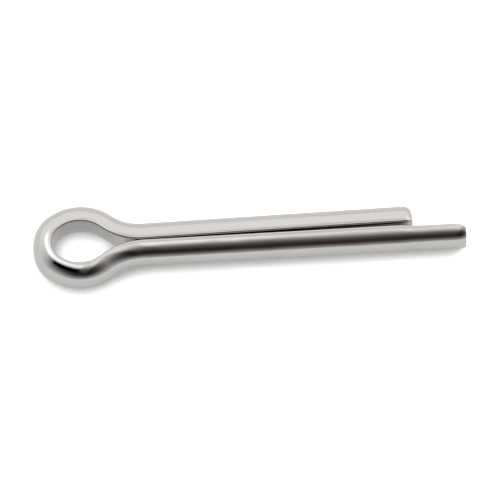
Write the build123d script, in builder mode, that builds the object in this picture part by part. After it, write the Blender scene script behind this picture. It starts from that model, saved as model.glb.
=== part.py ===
"""Split cotter pin, bent from one length of half-round steel wire.

The frame: X runs along the shank towards the tips, Z is up, and the pin lies on its side, so the
eye's plane is level. The origin is on the shank's axis, where the straight prongs begin. The short
prong is on the far side (+Y) and the long one on the near side (-Y). The eye is a little wider on
the far side, as the bending left it.
"""

import os
from math import acos, cos, degrees, radians, sin, sqrt

from build123d import *

os.makedirs("parts", exist_ok=True)

# Wire, in millimetres. Its section is a little less than half a disc.
crown_radius = 2.95
flat_offset = 0.08  # from the crown's axis out to the flat
flat_edge_radius = 0.3  # where the flat meets the round of the wire

# Shank, in millimetres and degrees
hole_clearance = 0.25  # between the closed shank and the wall of the hole it is made for
length_under_eye = 37.6  # from the rim of that hole to the short prong's end
prong_overhang = 6.97  # the long prong passes the short one by this
root_gap = 0.054  # between the flats where the straight prongs begin
prong_spread = 0.54  # angle between the two prongs

# Eye, along the flat that lines it
far_half_width = 2.99  # from the shank's axis to the flat where the eye is widest
near_half_width = 2.64
far_side_radius = 4.56  # along the two sides
near_side_radius = 4.63
far_neck_radius = 9.02  # where the wire turns back into the shank
near_neck_radius = 10.01
end_radius = 2.31  # at the far end of the eye
side_thinning = 0.11  # off the wire from flat to crown beside the eye, where it was bent
end_thinning = 0.3  # the same at the far end, where the bend is tightest
edge_pressing = 0.04  # off the wire from edge to edge round the eye
stations = 7  # sections along an arc where the wire's form changes

# Ends of the prongs, where the cut wire is rounded off
short_end_length = 1.05  # the rounding starts this far from the end
short_crown_drop = 1.1  # and takes this off the crown
short_flat_drop = 0.3
long_end_length = 1.4
long_crown_drop = 0.8
long_flat_drop = 0.65

half_gap = root_gap / 2
half_spread = radians(prong_spread / 2)
wire_thickness = crown_radius - flat_offset  # flat to crown
wire_height = 2 * sqrt(crown_radius**2 - flat_offset**2)  # edge to edge


def bend_centers(neck_radius, side_radius, half_width):
    """Centres of the arcs along the neck and the side of the eye, as they lie on the far side."""
    neck = Vector(-neck_radius * sin(half_spread), half_gap + neck_radius * cos(half_spread))
    side_y = half_width - side_radius
    side_x = neck.X - sqrt((neck_radius + side_radius) ** 2 - (neck.Y - side_y) ** 2)
    return neck, Vector(side_x, side_y)


def wire_section(plane, thickness, height):
    """Half-round wire with its flat on the plane's Y axis and its crown towards the X axis."""
    with BuildSketch(plane) as section:
        with BuildLine():
            ThreePointArc((0, -height / 2), (thickness, 0), (0, height / 2))
            Line((0, height / 2), (0, -height / 2))
        make_face()
        fillet(section.vertices(), flat_edge_radius)
    return section.sketch


def sections_along(arc, first, last):
    """Sections of wire along an arc, from one thickness and height slowly to another."""
    sections = []
    for station in range(stations):
        along = station / (stations - 1)
        ease = along**2 * (3 - 2 * along)
        thickness, height = (a + (b - a) * ease for a, b in zip(first, last))
        crown = (arc % along).cross(Vector(0, 0, 1))
        plane = Plane(origin=arc @ along, x_dir=crown, z_dir=arc % along)
        sections.append(wire_section(plane, thickness, height))
    return sections


def half_eye(neck, neck_radius, side, side_radius, end):
    """Wire from a prong's root round to the far end of the eye, as it lies on the far side.

    The flat runs along three arcs about the centres neck, side and end.
    """
    root = Vector(0, half_gap)
    side_start = neck + (side - neck).normalized() * neck_radius
    side_end = side + (end - side).normalized() * side_radius
    far_end = end - Vector(end_radius, 0)
    with BuildLine():
        neck_arc = TangentArc(root, side_start, tangent=(-cos(half_spread), -sin(half_spread)))
        side_arc = TangentArc(side_start, side_end, tangent=neck_arc % 1)
        end_arc = TangentArc(side_end, far_end, tangent=side_arc % 1)

    straight_form = (wire_thickness, wire_height)
    side_form = (wire_thickness - side_thinning, wire_height - edge_pressing)
    end_form = (wire_thickness - end_thinning, wire_height - edge_pressing)
    neck_sections = sections_along(neck_arc, straight_form, side_form)
    end_sections = sections_along(end_arc, side_form, end_form)
    with BuildPart() as wire:
        loft(neck_sections)
        sweep(neck_sections[-1], path=side_arc)
        loft(end_sections)
    return wire.part


def prong(length, end_length, crown_drop, flat_drop):
    """Straight prong from the origin along X, its flat on XZ and its crown towards -Y.

    Over end_length the crown falls away to the end along a quarter ellipse, and the flat along
    an arc.
    """
    round_start = length - end_length
    with BuildPart() as wire:
        with BuildSketch(Plane.XZ.offset(-flat_offset)):
            with BuildLine():
                Line((0, 0), (0, crown_radius))
                Line((0, crown_radius), (round_start, crown_radius))
                fall = EllipticalCenterArc(
                    (round_start, crown_radius - crown_drop), end_length, crown_drop, arc_size=90
                )
                Polyline(fall @ 0, (length, 0), (0, 0))
            make_face()
        revolve(axis=Axis((0, flat_offset, 0), (1, 0, 0)), revolution_arc=180)
        with BuildSketch():
            with BuildLine():
                flat = Line((0, 0), (round_start, 0))
                fall = TangentArc(flat @ 1, (length, -flat_drop), tangent=flat % 1)
                Polyline(fall @ 1, (length, -crown_radius), (0, -crown_radius), flat @ 0)
            make_face()
        extrude(amount=crown_radius, both=True, mode=Mode.INTERSECT)

        # All round the flat, apart from the root and the line where the fall starts
        inner_faces = wire.faces().filter_by(lambda face: face.normal_at().Y > 0.5)
        cross_edges = inner_faces.edges().filter_by(Axis.Z).sort_by(Axis.X)
        fillet(inner_faces.edges() - cross_edges[:-1], flat_edge_radius)
    return wire.part


far_neck, far_side = bend_centers(far_neck_radius, far_side_radius, far_half_width)
near_neck, near_side = bend_centers(near_neck_radius, near_side_radius, near_half_width)

# The arc at the far end touches both sides, so the radii give its distance from their centres
far_reach = far_side_radius - end_radius
near_reach = near_side_radius - end_radius
across = Vector(near_side.X, -near_side.Y) - far_side
foot = (far_reach**2 - near_reach**2 + across.length**2) / (2 * across.length)
outwards = Vector(0, 0, 1).cross(across.normalized())
end_center = far_side + across.normalized() * foot + outwards * sqrt(far_reach**2 - foot**2)

far_bend = half_eye(far_neck, far_neck_radius, far_side, far_side_radius, end_center)
near_bend = half_eye(
    near_neck, near_neck_radius, near_side, near_side_radius, Vector(end_center.X, -end_center.Y)
)

# The rim of the hole meets the crown of the far neck a little before the root
hole_radius = half_gap + wire_thickness + hole_clearance
neck_crown_radius = far_neck_radius - wire_thickness
rim_angle = acos((far_neck.Y - hole_radius) / neck_crown_radius)
straight_length = length_under_eye + far_neck.X - neck_crown_radius * sin(rim_angle)

# The two prongs, each turned outwards by half of the spread
near_root = Location((0, -half_gap, 0), (0, 0, -degrees(half_spread)))
short_prong = prong(straight_length, short_end_length, short_crown_drop, short_flat_drop)
long_prong = prong(
    straight_length + prong_overhang, long_end_length, long_crown_drop, long_flat_drop
)

# One piece of wire from tip to tip
with BuildPart() as cotter_pin:
    add(far_bend)
    add(mirror(near_bend, about=Plane.XZ, mode=Mode.PRIVATE))
    add(long_prong.moved(near_root))
    add(mirror(short_prong.moved(near_root), about=Plane.XZ, mode=Mode.PRIVATE))

cotter_pin.part.label = "cotter_pin"
export_step(cotter_pin.part, "parts/cotter_pin.step")
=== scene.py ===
"""Split cotter pin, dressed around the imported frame.

One length of half-round steel wire is drawn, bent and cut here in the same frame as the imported
part: X runs along the shank towards the tips, Z is up, and the pin lies on a white table. The short
prong is on the far side (+Y) and the long one on the near side (-Y). Lengths are in metres.
"""

import logging
from dataclasses import dataclass
from enum import Enum
from math import acos, atan2, ceil, copysign, cos, pi, radians, sin, sqrt

import bmesh
import bpy
from mathutils import Matrix, Vector


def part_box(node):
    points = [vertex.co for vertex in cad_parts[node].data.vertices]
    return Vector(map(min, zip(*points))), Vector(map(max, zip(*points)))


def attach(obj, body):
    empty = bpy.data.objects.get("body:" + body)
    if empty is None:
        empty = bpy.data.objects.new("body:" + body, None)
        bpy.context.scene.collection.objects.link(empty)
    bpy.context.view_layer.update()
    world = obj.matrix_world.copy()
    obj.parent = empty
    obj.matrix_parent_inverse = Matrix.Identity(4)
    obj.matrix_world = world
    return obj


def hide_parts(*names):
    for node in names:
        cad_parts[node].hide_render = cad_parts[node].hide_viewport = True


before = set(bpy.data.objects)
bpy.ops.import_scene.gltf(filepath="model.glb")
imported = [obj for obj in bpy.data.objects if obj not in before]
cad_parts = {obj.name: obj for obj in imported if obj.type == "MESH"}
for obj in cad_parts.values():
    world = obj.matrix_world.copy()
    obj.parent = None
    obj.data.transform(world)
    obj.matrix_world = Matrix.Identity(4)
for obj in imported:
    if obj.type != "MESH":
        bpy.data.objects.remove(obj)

MM = 0.001
UNBENT = "unbent"  # attribute that holds each vertex's place in the unbent wire
UP = Vector((0.0, 0.0, 1.0))
BLACK = (0.0, 0.0, 0.0)
WHITE = (1.0, 1.0, 1.0)

Colour = tuple[float, float, float]
Span = tuple[float, float]
Socket = bpy.types.NodeSocket

log = logging.getLogger("cotter_pin")


class Ray(Enum):
    """Kinds of ray, by the names of the Light Path node's outputs."""

    CAMERA = "Is Camera Ray"
    GLOSSY = "Is Glossy Ray"
    TRANSMISSION = "Is Transmission Ray"


class Maths(Enum):
    """What a Math node works out."""

    ADD = "ADD"
    SUBTRACT = "SUBTRACT"
    MULTIPLY = "MULTIPLY"
    DIVIDE = "DIVIDE"
    SMALLER = "MINIMUM"
    LARGER = "MAXIMUM"
    SIZE = "ABSOLUTE"


class Blend(Enum):
    """Ways to lay one colour over another."""

    MIX = "MIX"
    ADD = "ADD"
    MULTIPLY = "MULTIPLY"


class NodeBench:
    """A short way to place and wire the shader nodes of one material or world."""

    def __init__(self, block: bpy.types.Material | bpy.types.World) -> None:
        """Takes over the nodes of a material or a world and empties them.

        Args:
            block: The material or the world.
        """
        block.use_nodes = True
        self.tree = block.node_tree
        self.tree.nodes.clear()

    def add(self, kind: str, **values: object) -> bpy.types.Node:
        """Adds a node and sets its properties and inputs.

        Args:
            kind: The node's type name.
            **values: Properties by name, or inputs by name with spaces as underscores.

        Returns:
            The new node.
        """
        node = self.tree.nodes.new(kind)
        for name, value in values.items():
            if hasattr(node, name):
                setattr(node, name, value)
            else:
                node.inputs[name.replace("_", " ")].default_value = value
        return node

    def link(self, out: Socket, into: Socket) -> None:
        """Joins an output to an input."""
        self.tree.links.new(out, into)

    def show(self, kind: str, shader: Socket) -> None:
        """Adds an output node of a kind and shows a shader through it."""
        self.link(shader, self.add(kind).inputs["Surface"])

    def math(self, what: Maths, first: Socket | float, second: Socket | float = 0.0) -> Socket:
        """Adds a Math node.

        Args:
            what: What it works out.
            first: The first value.
            second: The second value, where it takes two.

        Returns:
            The value that comes out.
        """
        node = self.add("ShaderNodeMath", operation=what.value)
        self._feed(node.inputs[0], first)
        self._feed(node.inputs[1], second)
        return node.outputs[0]

    def ramp(self, value: Socket, low: float, high: float,
             start: float = 0.0, end: float = 1.0) -> Socket:
        """Maps a value from one range to another, smoothly and without passing the ends.

        Args:
            value: The value to map.
            low: Where the input range starts.
            high: Where the input range ends.
            start: What comes out at low.
            end: What comes out at high.

        Returns:
            The mapped value.
        """
        node = self.add("ShaderNodeMapRange", interpolation_type="SMOOTHSTEP",
                        From_Min=low, From_Max=high, To_Min=start, To_Max=end)
        self.link(value, node.inputs["Value"])
        return node.outputs["Result"]

    def dot(self, first: Socket, second: Vector) -> Socket:
        """Dot product of an output and a fixed vector."""
        return self._vector("DOT_PRODUCT", first, second).outputs["Value"]

    def stretch(self, first: Socket, second: tuple[float, float, float]) -> Socket:
        """An output times a fixed vector, axis by axis."""
        return self._vector("MULTIPLY", first, second).outputs["Vector"]

    def mix(self, share: Socket | float, first: Socket | Colour, second: Socket | Colour,
            blend: Blend = Blend.MIX) -> Socket:
        """Lays one colour over another.

        Args:
            share: How much of the second one there is.
            first: The colour below.
            second: The colour laid over it.
            blend: How it is laid over.

        Returns:
            The mixed colour.
        """
        node = self.add("ShaderNodeMixRGB", blend_type=blend.value)
        for slot, value in zip(node.inputs, (share, first, second)):
            self._feed(slot, value)
        return node.outputs[0]

    def _vector(self, operation: str, first: Socket,
                second: Vector | tuple[float, float, float]) -> bpy.types.Node:
        """Adds a Vector Math node.

        Args:
            operation: The name of its operation.
            first: The output that it works on.
            second: The fixed vector that it works with.

        Returns:
            The node.
        """
        node = self.add("ShaderNodeVectorMath", operation=operation)
        self.link(first, node.inputs[0])
        node.inputs[1].default_value = second
        return node

    def _feed(self, slot: Socket, value: Socket | float | Colour) -> None:
        """Links an output into an input, or sets the input to a number or a colour.

        Args:
            slot: The input.
            value: The output, the number or the colour.
        """
        if isinstance(value, Socket):
            self.link(value, slot)
        elif isinstance(value, float):
            slot.default_value = value
        else:
            slot.default_value = (*value, 1.0)


@dataclass(frozen=True)
class DrawnSteel:
    """Bright stainless steel wire, with fine lines along it from the drawing die."""

    name: str = "drawn_steel"
    colour: Colour = (0.615, 0.605, 0.595)
    line_colour: Colour = (0.57, 0.56, 0.555)
    cut_colour: Colour = (0.5, 0.49, 0.49)
    roughness: float = 0.03
    line_roughness: float = 0.08
    cut_roughness: float = 0.24
    line_grain: tuple[float, float, float] = (7000.0, 7000.0, 40.0)  # waves in a metre, on each axis
    line_detail: float = 3.0  # layers of finer lines
    line_span: Span = (0.42, 0.72)  # the noise becomes a line between these
    line_depth: float = 0.0016 * MM
    wave_grain: tuple[float, float, float] = (420.0, 420.0, 190.0)
    wave_detail: float = 1.0
    wave_depth: float = 0.035 * MM
    detail_share: float = 0.55  # how much each finer layer counts beside the one before
    cut_reach: float = 0.12 * MM  # how far the marks of the cut go along the wire

    def _noise(self, bench: NodeBench, place: Socket, grain: tuple[float, float, float],
               detail: float) -> Socket:
        """Noise that is stretched along the wire.

        Args:
            bench: The nodes of the material.
            place: Place in the unbent wire.
            grain: Number of waves in a metre along each axis.
            detail: Number of finer layers.

        Returns:
            The noise, about 0.5.
        """
        noise = bench.add("ShaderNodeTexNoise", Scale=1.0, Detail=detail,
                          Roughness=self.detail_share)
        bench.link(bench.stretch(place, grain), noise.inputs["Vector"])
        return noise.outputs["Fac"]

    def _bump(self, bench: NodeBench, height: Socket, depth: float,
              over: Socket | None = None) -> Socket:
        """Raises the surface by a height.

        Args:
            bench: The nodes of the material.
            height: The height, from 0 to 1.
            depth: How far 1 raises it.
            over: The normal that it starts from, or None for the surface's own.

        Returns:
            The normal.
        """
        bump = bench.add("ShaderNodeBump", Strength=1.0, Distance=depth)
        bench.link(height, bump.inputs["Height"])
        if over is not None:
            bench.link(over, bump.inputs["Normal"])
        return bump.outputs["Normal"]

    def _cut_share(self, bench: NodeBench, place: Socket, length: float) -> Socket:
        """How much of the finish is that of the cuts, which are at both ends of the wire.

        Args:
            bench: The nodes of the material.
            place: Place in the unbent wire.
            length: Length of the unbent wire.

        Returns:
            The share, from 1 at a cut to 0.
        """
        axes = bench.add("ShaderNodeSeparateXYZ")
        bench.link(place, axes.inputs["Vector"])
        along = axes.outputs["Z"]
        from_end = bench.math(Maths.SUBTRACT, length, along)
        from_cut = bench.math(Maths.SMALLER, along, from_end)
        return bench.ramp(from_cut, 0.0, self.cut_reach, 1.0, 0.0)

    def make(self, length: float) -> bpy.types.Material:
        """Builds the material on the wire's unbent coordinates.

        Args:
            length: Length of the unbent wire.

        Returns:
            The material.
        """
        material = bpy.data.materials.new(self.name)
        bench = NodeBench(material)
        place = bench.add("ShaderNodeAttribute", attribute_name=UNBENT).outputs["Vector"]
        cut = self._cut_share(bench, place, length)
        lines = self._noise(bench, place, self.line_grain, self.line_detail)
        waves = self._noise(bench, place, self.wave_grain, self.wave_detail)
        lined = bench.ramp(lines, *self.line_span)

        shader = bench.add("ShaderNodeBsdfPrincipled", Metallic=1.0)
        colour = bench.mix(lined, self.colour, self.line_colour)
        bench.link(bench.mix(cut, colour, self.cut_colour), shader.inputs["Base Color"])
        drawn = bench.ramp(lined, 0.0, 1.0, self.roughness, self.line_roughness)
        torn = bench.math(Maths.MULTIPLY, cut, self.cut_roughness - self.roughness)
        bench.link(bench.math(Maths.ADD, drawn, torn), shader.inputs["Roughness"])
        wavy = self._bump(bench, waves, self.wave_depth)
        scored = self._bump(bench, lines, self.line_depth, wavy)
        bench.link(scored, shader.inputs["Normal"])
        bench.show("ShaderNodeOutputMaterial", shader.outputs["BSDF"])
        return material


@dataclass(frozen=True)
class WhiteTable:
    """Matt white table, which shows plain white but keeps the pin's shadow, partly cast and partly
    painted.

    It is lifted to white where it is seen, and a little where the steel mirrors it. Close to the
    pin, where the near sky is shut, a painted contact shade darkens it where it is seen, and painted
    light brightens it where the steel mirrors it.
    """

    name: str = "white_table"
    colour: Colour = (0.8, 0.8, 0.8)
    # The glow that lifts the seen table to white; its bluer share tints the painted contact shade.
    lift: Colour = (0.85, 0.85, 0.88)
    mirrored_lift: Colour = (0.19, 0.192, 0.19)
    sky_reach: float = 3 * MM  # the near sky ends this far off
    sky_samples: int = 8
    open_sky: Span = (0.3, 0.75)  # share of the near sky that is open, from the contact outwards
    # Painted shade: the seen table's colour and glow are multiplied down to this at the contact.
    painted_contact_shade: Colour = (0.33, 0.33, 0.33)
    mirrored_painted_light: Colour = (1.36, 1.36, 1.36)  # painted light, in place of light that the steel throws on it

    def make(self) -> bpy.types.Material:
        """Builds the material.

        Returns:
            The material.
        """
        material = bpy.data.materials.new(self.name)
        bench = NodeBench(material)
        rays = bench.add("ShaderNodeLightPath").outputs
        seen = rays[Ray.CAMERA.value]
        mirrored = bench.math(Maths.LARGER, rays[Ray.GLOSSY.value], rays[Ray.TRANSMISSION.value])
        near_sky = bench.add("ShaderNodeAmbientOcclusion", samples=self.sky_samples,
                             Distance=self.sky_reach)
        # Painted shade near the pin where it is seen, painted light where it is mirrored
        contact = bench.mix(mirrored, WHITE, self.mirrored_painted_light)
        contact = bench.mix(seen, contact, self.painted_contact_shade)
        shade = bench.mix(bench.ramp(near_sky.outputs["AO"], *self.open_sky), contact, WHITE)
        lift = bench.mix(seen, bench.mix(mirrored, BLACK, self.mirrored_lift), self.lift)

        matt = bench.add("ShaderNodeBsdfDiffuse")
        glow = bench.add("ShaderNodeEmission", Strength=1.0)
        both = bench.add("ShaderNodeAddShader")
        for slot, shader, colour in zip(both.inputs, (matt, glow), (self.colour, lift)):
            bench.link(bench.mix(1.0, colour, shade, Blend.MULTIPLY), shader.inputs["Color"])
            bench.link(shader.outputs[0], slot)
        bench.show("ShaderNodeOutputMaterial", both.outputs["Shader"])
        return material


@dataclass(frozen=True)
class SoftPanel:
    """A soft-edged panel of the tent, as it stands against the sky.

    Its angles are in degrees, and its sizes are over its distance.
    """

    name: str
    zenith: float  # from straight up to the panel's middle
    azimuth: float  # of the middle, from the front of the table round to the right
    roll: float
    half_width: float
    half_height: float
    softness: float  # how wide the edge is that fades out
    colour: Colour
    blend: Blend = Blend.MIX
    least_facing: float = 0.001  # cosine that a direction away from the panel is given

    def axes(self) -> tuple[Vector, Vector, Vector]:
        """Works out how the panel stands.

        Returns:
            The directions to its middle, along its width and along its height.
        """
        zenith, azimuth, roll = radians(self.zenith), radians(self.azimuth), radians(self.roll)
        out = Vector((sin(azimuth), -cos(azimuth), 0.0))
        level = Vector((cos(azimuth), sin(azimuth), 0.0))
        middle = out * sin(zenith) + UP * cos(zenith)
        rise = middle.cross(level)
        width = level * cos(roll) + rise * sin(roll)
        height = rise * cos(roll) - level * sin(roll)
        return middle, width, height

    def over(self, bench: NodeBench, direction: Socket, sky: Socket) -> Socket:
        """Lays the panel over what is behind it.

        Args:
            bench: The nodes of the world.
            direction: The direction that is looked in.
            sky: The colour behind the panel.

        Returns:
            The colour with the panel.
        """
        middle, width, height = self.axes()
        facing = bench.math(Maths.LARGER, bench.dot(direction, middle), self.least_facing)
        inside = []
        for axis, half_size in ((width, self.half_width), (height, self.half_height)):
            offset = bench.math(Maths.DIVIDE, bench.dot(direction, axis), facing)
            offset = bench.math(Maths.SIZE, offset)
            full, gone = half_size - self.softness / 2, half_size + self.softness / 2
            inside.append(bench.ramp(offset, full, gone, 1.0, 0.0))
        sky = bench.mix(bench.math(Maths.MULTIPLY, *inside), sky, self.colour, self.blend)
        sky.node.label = self.name
        return sky


@dataclass(frozen=True)
class WireForm:
    """Size of the wire's section at one place along it."""

    thickness: float  # from flat to crown
    height: float  # from edge to edge
    setback: float = 0.0  # how far the flat has fallen back towards the crown
    lean: float = 0.0  # how much further its lower edge lies back than its upper one

    def against(self, full: "WireForm") -> Matrix:
        """Change of form from the full section to this one, in the section's own axes.

        Args:
            full: Form of the untouched wire.

        Returns:
            The change, which scales across and up, leans the flat and then moves it.
        """
        across = (self.thickness - self.lean / 2) / full.thickness
        scaled = Matrix.Diagonal((across, self.height / full.height, 1.0, 1.0))
        leant = Matrix.Identity(4)
        leant[0][1] = -self.lean / self.height
        return Matrix.Translation((self.setback + self.lean / 2, 0.0, 0.0)) @ leant @ scaled

    def towards(self, other: "WireForm", share: float) -> "WireForm":
        """Form part of the way to another one, changing slowly at both ends.

        Args:
            other: The form at the far end.
            share: How far along the way, from 0 to 1.

        Returns:
            The form there.
        """
        ease = share * share * (3 - 2 * share)
        pairs = zip((self.thickness, self.height, self.setback, self.lean),
                    (other.thickness, other.height, other.setback, other.lean))
        return WireForm(*(first + (last - first) * ease for first, last in pairs))


@dataclass(frozen=True)
class DrawnWire:
    """Half-round wire as it comes from the die."""

    crown_radius: float = 2.95 * MM
    flat_offset: float = 0.08 * MM  # from the crown's axis out to the flat
    edge_radius: float = 0.4 * MM  # where the flat meets the round of the wire
    crown_segments: int = 28
    flat_cuts: int = 7
    edge_segments: int = 6

    @property
    def form(self) -> WireForm:
        """Full form of the section."""
        return self.form_at(0.0, 0.0)

    def form_at(self, crown_fall: float, flat_fall: float) -> WireForm:
        """Form of the section where the crown and the flat have fallen away.

        Args:
            crown_fall: How much has gone from the crown.
            flat_fall: How much has gone from the flat.

        Returns:
            The form there.
        """
        radius = self.crown_radius - crown_fall
        offset = self.flat_offset + flat_fall
        return WireForm(radius - offset, 2 * sqrt(radius**2 - offset**2), flat_fall)

    def cut(self, mesh: bmesh.types.BMesh) -> bmesh.types.BMFace:
        """Cuts a section with its crown towards X and its flat on the Y axis.

        Args:
            mesh: The empty bmesh that it is made in.

        Returns:
            The section's face.
        """
        half_arc = acos(self.flat_offset / self.crown_radius)
        corner = mesh.verts.new((0.0, -self.form.height / 2, 0.0))
        bmesh.ops.spin(
            mesh, geom=[corner], cent=(-self.flat_offset, 0.0, 0.0), axis=UP,
            angle=2 * half_arc, steps=self.crown_segments,
        )
        bmesh.ops.contextual_create(mesh, geom=self._corners(mesh))
        flat = next(edge for edge in mesh.edges if set(edge.verts) == set(self._corners(mesh)))
        bmesh.ops.subdivide_edges(mesh, edges=[flat], cuts=self.flat_cuts)
        bmesh.ops.contextual_create(mesh, geom=mesh.edges[:])
        bmesh.ops.bevel(
            mesh, geom=self._corners(mesh), offset=self.edge_radius, offset_type="OFFSET",
            segments=self.edge_segments, profile=0.5, affect="VERTICES", clamp_overlap=True,
            material=-1,
        )
        return next(iter(mesh.faces))

    def _corners(self, mesh: bmesh.types.BMesh) -> list[bmesh.types.BMVert]:
        """The two vertices that lie furthest out along Y."""
        return sorted(mesh.verts, key=lambda vert: abs(vert.co.y))[-2:]


@dataclass(frozen=True)
class ProngEnd:
    """Rounded end of a prong, where the crown and the flat fall away to the cut."""

    length: float
    crown_drop: float
    flat_drop: float
    corner_radius: float  # where the flat meets the cut
    pressed: float = 0.0  # how far the flat lies back beside the rounded end
    stations: int = 18

    def distances(self) -> list[float]:
        """Distances from the cut to the stations of the end, closer together near the cut."""
        return [self.length * (1 - cos(pi / 2 * number / self.stations))
                for number in range(self.stations + 1)]

    def form_at(self, wire: DrawnWire, distance: float) -> WireForm:
        """Form of the section near the cut.

        Args:
            wire: The wire that was cut.
            distance: From the cut back along the prong.

        Returns:
            The form there.
        """
        share = 1 - min(distance / self.length, 1.0)
        corner = 1 - min(distance / self.corner_radius, 1.0)
        crown_fall = self.crown_drop * (1 - sqrt(1 - share**2))
        flat_fall = self.flat_drop * share**2 + self.corner_radius * (1 - sqrt(1 - corner**2))
        return wire.form_at(crown_fall, flat_fall + self.pressed)


class BentWire:
    """Wire that is carried forward station by station from its first end.

    The section's own axes are the crown's direction, up, and the heading. Each vertex keeps the
    place that it had in the straight wire, for patterns that follow the drawing.
    """

    def __init__(self, wire: DrawnWire, start: Vector, heading: float, form: WireForm) -> None:
        """Cuts the first section.

        Args:
            wire: The wire to bend.
            start: Middle of the flat's line at the first end.
            heading: Direction of the wire in the level plane, from +X.
            form: Form of the section at the first end.
        """
        self.full = wire.form
        self.form = form
        self.along = 0.0
        self.mesh = bmesh.new()
        self.unbent = self.mesh.verts.layers.float_vector.new(UNBENT)
        self.front = wire.cut(self.mesh)
        verts = self.front.verts[:]
        for vert in verts:
            vert[self.unbent] = vert.co
        forward = Vector((cos(heading), sin(heading), 0.0))
        turn = Matrix((UP.cross(forward), UP, forward)).transposed().to_4x4()
        self.place = Matrix.Translation((start.x, start.y, 0.0)) @ turn
        bmesh.ops.transform(self.mesh, matrix=self.place @ form.against(self.full), verts=verts)

    def run(self, length: float, form: WireForm, stations: int = 1) -> None:
        """Draws the wire straight on.

        Args:
            length: How far.
            form: Form of the section at the end of the run.
            stations: Number of equal steps.
        """
        step = Matrix.Translation(self.place.col[2].to_3d() * length / stations)
        self._draw(length, step, form, stations)

    def turn(self, radius: float, angle: float, form: WireForm, station: float = 0.15 * MM) -> None:
        """Bends the wire round an arc.

        Args:
            radius: Radius of the flat's line.
            angle: How far it turns, to the left if positive.
            form: Form of the section at the end of the arc.
            station: About how far it is from one section to the next.
        """
        length = radius * abs(angle)
        stations = ceil(length / station)
        center = self.place @ Vector((copysign(radius, angle), 0.0, 0.0))
        spin = Matrix.Rotation(angle / stations, 4, "Z")
        step = Matrix.Translation(center) @ spin @ Matrix.Translation(-center)
        self._draw(length, step, form, stations)

    def _draw(self, length: float, step: Matrix, form: WireForm, stations: int) -> None:
        """Carries the front of the wire on by equal steps, easing its form from one to the next.

        Args:
            length: Length of wire in all the steps.
            step: Movement from one station to the next.
            form: Form of the section at the last station.
            stations: Number of steps.
        """
        first = self.form
        for number in range(1, stations + 1):
            behind = self.front
            made = bmesh.ops.extrude_face_region(self.mesh, geom=[behind])["geom"]
            self.front = next(item for item in made if isinstance(item, bmesh.types.BMFace))
            verts = [item for item in made if isinstance(item, bmesh.types.BMVert)]
            if self.along > 0.0:
                bmesh.ops.delete(self.mesh, geom=[behind], context="FACES_ONLY")
            self.place = step @ self.place
            after = first.towards(form, number / stations)
            change = after.against(self.full) @ self.form.against(self.full).inverted()
            reshape = self.place @ change @ self.place.inverted() @ step
            bmesh.ops.transform(self.mesh, matrix=reshape, verts=verts)
            self.form = after
            self.along += length / stations
            for vert in verts:
                vert[self.unbent] = (*vert[self.unbent][:2], self.along)

    def finish(self, name: str) -> bpy.types.Mesh:
        """Closes the wire and makes it a mesh.

        Args:
            name: The mesh's name.

        Returns:
            The mesh, smooth but for the two cuts, and with its faces pointing outwards.
        """
        bmesh.ops.recalc_face_normals(self.mesh, faces=self.mesh.faces[:])
        mesh = bpy.data.meshes.new(name)
        self.mesh.to_mesh(mesh)
        self.mesh.free()
        mesh.polygons.foreach_set("use_smooth", [len(face.vertices) == 4 for face in mesh.polygons])
        return mesh


@dataclass(frozen=True)
class EyeSide:
    """One side of the eye: the neck that leaves the shank, and the arc along the side."""

    half_width: float  # from the shank's axis to the flat where the eye is widest
    side_radius: float
    neck_radius: float

    def centers(self, half_gap: float, half_spread: float) -> tuple[Vector, Vector]:
        """Centres of the arcs of the neck and the side, as they lie on the far side.

        Args:
            half_gap: From the shank's axis to the flat at the root.
            half_spread: Angle between the prong and the shank's axis.

        Returns:
            The neck's centre and the side's.
        """
        neck = Vector((-self.neck_radius * sin(half_spread),
                       half_gap + self.neck_radius * cos(half_spread)))
        side_y = self.half_width - self.side_radius
        reach = self.neck_radius + self.side_radius
        return neck, Vector((neck.x - sqrt(reach**2 - (neck.y - side_y) ** 2), side_y))


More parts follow.
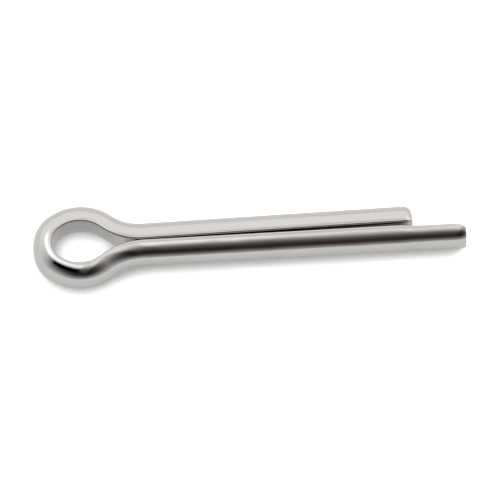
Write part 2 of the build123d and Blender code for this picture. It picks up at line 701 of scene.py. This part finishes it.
@dataclass
class CotterPin:
    """The whole pin: two prongs, two necks and the eye, from one wire."""

    name: str = "bent_wire"
    wire: DrawnWire = DrawnWire()
    steel: DrawnSteel = DrawnSteel()

    short_length: float = 35.82 * MM  # from the root to the short prong's end
    overhang: float = 6.97 * MM  # the long prong passes the short one by this
    root_gap: float = 0.054 * MM  # between the flats where the straight prongs begin
    prong_spread: float = radians(0.54)  # angle between the two prongs

    far: EyeSide = EyeSide(half_width=2.99 * MM, side_radius=4.56 * MM, neck_radius=9.02 * MM)
    near: EyeSide = EyeSide(half_width=2.64 * MM, side_radius=4.63 * MM, neck_radius=10.01 * MM)
    end_radius: float = 2.31 * MM  # at the far end of the eye
    side_thinning: float = 0.11 * MM  # off the wire from flat to crown beside the eye
    end_thinning: float = 0.3 * MM  # the same at the far end, where the bend is tightest
    edge_pressing: float = 0.04 * MM  # off the wire from edge to edge round the eye
    eye_lean: float = 0.2 * MM  # the bending has tipped the flat that lines the eye

    short_end: ProngEnd = ProngEnd(length=1.05 * MM, crown_drop=1.1 * MM, flat_drop=0.08 * MM,
                                   corner_radius=0.12 * MM)
    long_end: ProngEnd = ProngEnd(length=1.6 * MM, crown_drop=0.25 * MM, flat_drop=0.35 * MM,
                                  corner_radius=0.3 * MM, pressed=0.22 * MM)
    press_run: float = 3.2 * MM  # over which the pressed flat comes back to its line
    press_overlap: float = 2.2 * MM  # how much of that is beside the short prong

    prong_stations: int = 20
    press_stations: int = 16
    overhang_stations: int = 4

    def _eye_form(self, thinning: float) -> WireForm:
        """Form of the wire where bending has thinned it.

        Args:
            thinning: How much has gone between the flat and the crown.

        Returns:
            The form there.
        """
        full = self.wire.form
        return WireForm(full.thickness - thinning, full.height - self.edge_pressing,
                        lean=self.eye_lean)

    def _end_center(self, near: Vector, far: Vector) -> Vector:
        """Centre of the arc at the far end of the eye, which touches both sides.

        Args:
            near: Centre of the near side's arc.
            far: Centre of the far side's arc.

        Returns:
            The centre, on the side away from the shank.
        """
        to_near = self.near.side_radius - self.end_radius
        to_far = self.far.side_radius - self.end_radius
        across = near - far
        foot = (to_far**2 - to_near**2 + across.length_squared) / (2 * across.length)
        line = across.normalized()
        return far + line * foot + Vector((-line.y, line.x)) * sqrt(to_far**2 - foot**2)

    @staticmethod
    def _heading(center: Vector, beyond: Vector) -> float:
        """Heading of a path round a centre, to the right, where it passes a point beyond.

        Args:
            center: Centre that the path goes round.
            beyond: A point on the line from the centre out through the path.

        Returns:
            The heading from +X.
        """
        outwards = beyond - center
        return atan2(outwards.y, outwards.x) - pi / 2

    def _turns(self, half_gap: float, half_spread: float) -> list[float]:
        """How far the wire turns along each arc, to the left if positive.

        Args:
            half_gap: From the shank's axis to the flat at the root.
            half_spread: Angle between each prong and the shank's axis.

        Returns:
            The turns of the near neck, the near side, the far end, the far side and the far neck.
        """
        near_neck, near_side = (Vector((center.x, -center.y))
                                for center in self.near.centers(half_gap, half_spread))
        far_neck, far_side = self.far.centers(half_gap, half_spread)
        end_center = self._end_center(near_side, far_side)

        # Directions along the wire where one arc takes over from the next
        headings = (
            pi - half_spread,
            self._heading(near_side, near_neck),
            self._heading(near_side, end_center),
            self._heading(far_side, end_center),
            self._heading(far_side, far_neck),
            half_spread,
        )
        return [(after - before + pi) % (2 * pi) - pi for before, after in zip(headings, headings[1:])]

    def _draw_end(self, bent: BentWire, end: ProngEnd, distances: list[float]) -> None:
        """Draws the rounded end of a prong.

        Args:
            bent: The wire so far.
            end: The end to draw.
            distances: The stations' distances from the cut, in the order of the drawing.
        """
        for before, after in zip(distances, distances[1:]):
            bent.run(abs(after - before), end.form_at(self.wire, after))

    def build(self) -> bpy.types.Object:
        """Draws and bends the wire, from the long prong's end round the eye to the short one's.

        Returns:
            The dressed wire.
        """
        half_gap = self.root_gap / 2
        half_spread = self.prong_spread / 2
        full = self.wire.form
        side_form = self._eye_form(self.side_thinning)
        end_form = self._eye_form(self.end_thinning)

        long_length = self.short_length + self.overhang
        tip = Vector((long_length * cos(half_spread), -half_gap - long_length * sin(half_spread)))
        bent = BentWire(self.wire, tip, pi - half_spread, self.long_end.form_at(self.wire, 0.0))
        self._draw_end(bent, self.long_end, self.long_end.distances())
        pressed_length = self.overhang + self.press_overlap - self.press_run - self.long_end.length
        bent.run(pressed_length, bent.form, self.overhang_stations)
        bent.run(self.press_run, full, self.press_stations)
        bent.run(self.short_length - self.press_overlap, full, self.prong_stations)

        near_neck, near_side, far_end, far_side, far_neck = self._turns(half_gap, half_spread)
        bent.turn(self.near.neck_radius, near_neck, side_form)
        bent.turn(self.near.side_radius, near_side, side_form)
        bent.turn(self.end_radius, far_end / 2, end_form)
        bent.turn(self.end_radius, far_end / 2, side_form)
        bent.turn(self.far.side_radius, far_side, side_form)
        bent.turn(self.far.neck_radius, far_neck, full)

        bent.run(self.short_length - self.short_end.length, full, self.prong_stations)
        self._draw_end(bent, self.short_end, self.short_end.distances()[::-1])
        piece = bpy.data.objects.new(self.name, bent.finish(self.name))
        bpy.context.scene.collection.objects.link(piece)
        self.dress(piece, bent.along)
        return piece

    def dress(self, piece: bpy.types.Object, length: float) -> None:
        """Gives the wire its finish and its place in the frame.

        Args:
            piece: The bent wire.
            length: Length of the unbent wire.
        """
        piece.data.materials.append(self.steel.make(length))
        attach(piece, "root")
        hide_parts("cotter_pin")


@dataclass
class Studio:
    """White table, a pale tent with an opening at the front, and the camera."""

    table_size: float = 2.0
    table_finish: WhiteTable = WhiteTable()

    view_azimuth: float = 3.635  # degrees, from the front of the table round to the left
    view_elevation: float = 73.19  # degrees
    view_distance: float = 532 * MM
    view_width: float = 66.5 * MM
    view_center: tuple[float, float, float] = (14.03 * MM, -1.59 * MM, 0.0)
    clip_span: Span = (0.01, 20.0)  # what the camera sees, in shares of the distance

    tent_span: Span = (-0.81, 0.76)  # the tent pales from front to back between these
    tent_front: Colour = (0.455, 0.445, 0.44)
    tent_back: Colour = (1.14, 1.13, 1.12)
    haze_span: Span = (-0.24, 0.43)  # the tent's foot fades into its floor between these
    haze_front: Colour = (0.77, 0.774, 0.765)
    haze_back: Colour = (1.08, 1.08, 1.07)
    panels: tuple[SoftPanel, ...] = (
        SoftPanel("dim_seam", zenith=0.1, azimuth=248.3, roll=17.1, half_width=0.718,
                  half_height=0.05, softness=0.033, colour=(0.84, 0.83, 0.82)),
        SoftPanel("strip_light", zenith=22.4, azimuth=-90.5, roll=40.6, half_width=0.87,
                  half_height=0.185, softness=0.33, colour=(2.01, 2.01, 2.0)),
        SoftPanel("small_light", zenith=24.0, azimuth=13.6, roll=-22.6, half_width=0.108,
                  half_height=0.575, softness=0.092, colour=(1.15, 1.12, 1.11)),
        SoftPanel("front_opening", zenith=67.6, azimuth=8.3, roll=-21.4, half_width=0.4,
                  half_height=0.801, softness=1.14, colour=BLACK),
        SoftPanel("upper_opening", zenith=45.8, azimuth=-23.5, roll=-25.1, half_width=0.598,
                  half_height=0.395, softness=0.884, colour=(0.005, 0.005, 0.005)),
        SoftPanel("dark_corner", zenith=38.0, azimuth=-34.0, roll=0.0, half_width=0.3,
                  half_height=0.16, softness=0.12, colour=(0.0, 0.0, 0.002)),
        SoftPanel("warm_edge", zenith=42.0, azimuth=3.4, roll=0.0, half_width=0.045,
                  half_height=0.65, softness=0.035, colour=(0.019, 0.006, 0.005), blend=Blend.ADD),
        SoftPanel("right_light", zenith=40.0, azimuth=122.0, roll=0.0, half_width=0.34,
                  half_height=0.33, softness=0.2, colour=(1.5, 1.5, 1.5)),
    )

    def table(self, height: float) -> bpy.types.Object:
        """Lays the table under the pin.

        Args:
            height: Where its top lies.

        Returns:
            The table.
        """
        plane = bmesh.new()
        bmesh.ops.create_grid(plane, x_segments=1, y_segments=1, size=self.table_size / 2)
        bmesh.ops.translate(plane, vec=(0.0, 0.0, height), verts=plane.verts[:])
        mesh = bpy.data.meshes.new("table")
        plane.to_mesh(mesh)
        plane.free()
        mesh.materials.append(self.table_finish.make())
        table = bpy.data.objects.new("table", mesh)
        bpy.context.scene.collection.objects.link(table)
        return table

    def light(self) -> None:
        """Lights the pin from the tent, which is plain white where it is seen itself."""
        world = bpy.data.worlds.new("tent")
        bench = NodeBench(world)
        direction = bench.add("ShaderNodeTexCoord").outputs["Generated"]
        axes = bench.add("ShaderNodeSeparateXYZ")
        bench.link(direction, axes.inputs["Vector"])
        towards_back = bench.ramp(axes.outputs["Y"], *self.tent_span)
        sky = bench.mix(towards_back, self.tent_front, self.tent_back)
        for panel in self.panels:
            sky = panel.over(bench, direction, sky)
        haze = bench.mix(towards_back, self.haze_front, self.haze_back)
        haze_share = bench.ramp(axes.outputs["Z"], *self.haze_span, 1.0, 0.0)
        sky = bench.mix(haze_share, sky, haze)
        seen = bench.add("ShaderNodeLightPath").outputs[Ray.CAMERA.value]
        light = bench.add("ShaderNodeBackground", Strength=1.0)
        bench.link(bench.mix(seen, sky, WHITE), light.inputs["Color"])
        bench.show("ShaderNodeOutputWorld", light.outputs["Background"])
        bpy.context.scene.world = world

    def camera(self) -> bpy.types.Object:
        """Sets the camera above the near side of the pin.

        Returns:
            The camera.
        """
        azimuth, elevation = radians(self.view_azimuth), radians(self.view_elevation)
        level = cos(elevation)
        back = Vector((-sin(azimuth) * level, -cos(azimuth) * level, sin(elevation)))
        lens = bpy.data.cameras.new("camera")
        lens.lens = lens.sensor_width * self.view_distance / self.view_width
        lens.clip_start, lens.clip_end = (self.view_distance * share for share in self.clip_span)
        camera = bpy.data.objects.new("camera", lens)
        camera.location = Vector(self.view_center) + back * self.view_distance
        camera.rotation_euler = (-back).to_track_quat("-Z", "Y").to_euler()
        bpy.context.scene.collection.objects.link(camera)
        bpy.context.scene.camera = camera
        return camera


def main() -> None:
    """Builds the pin, then the studio round it."""
    logging.basicConfig(level=logging.INFO, format="%(message)s")
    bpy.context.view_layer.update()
    piece = CotterPin().build()
    log.info("%s: %d faces", piece.name, len(piece.data.polygons))
    studio = Studio()
    table = studio.table(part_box("cotter_pin")[0].z)
    log.info("%s: %d faces", table.name, len(table.data.polygons))
    studio.light()
    camera = studio.camera()
    log.info("%s: lens of %.0f mm", camera.name, camera.data.lens)
    bpy.context.scene.view_settings.view_transform = "Standard"


if __name__ == "__main__":
    main()
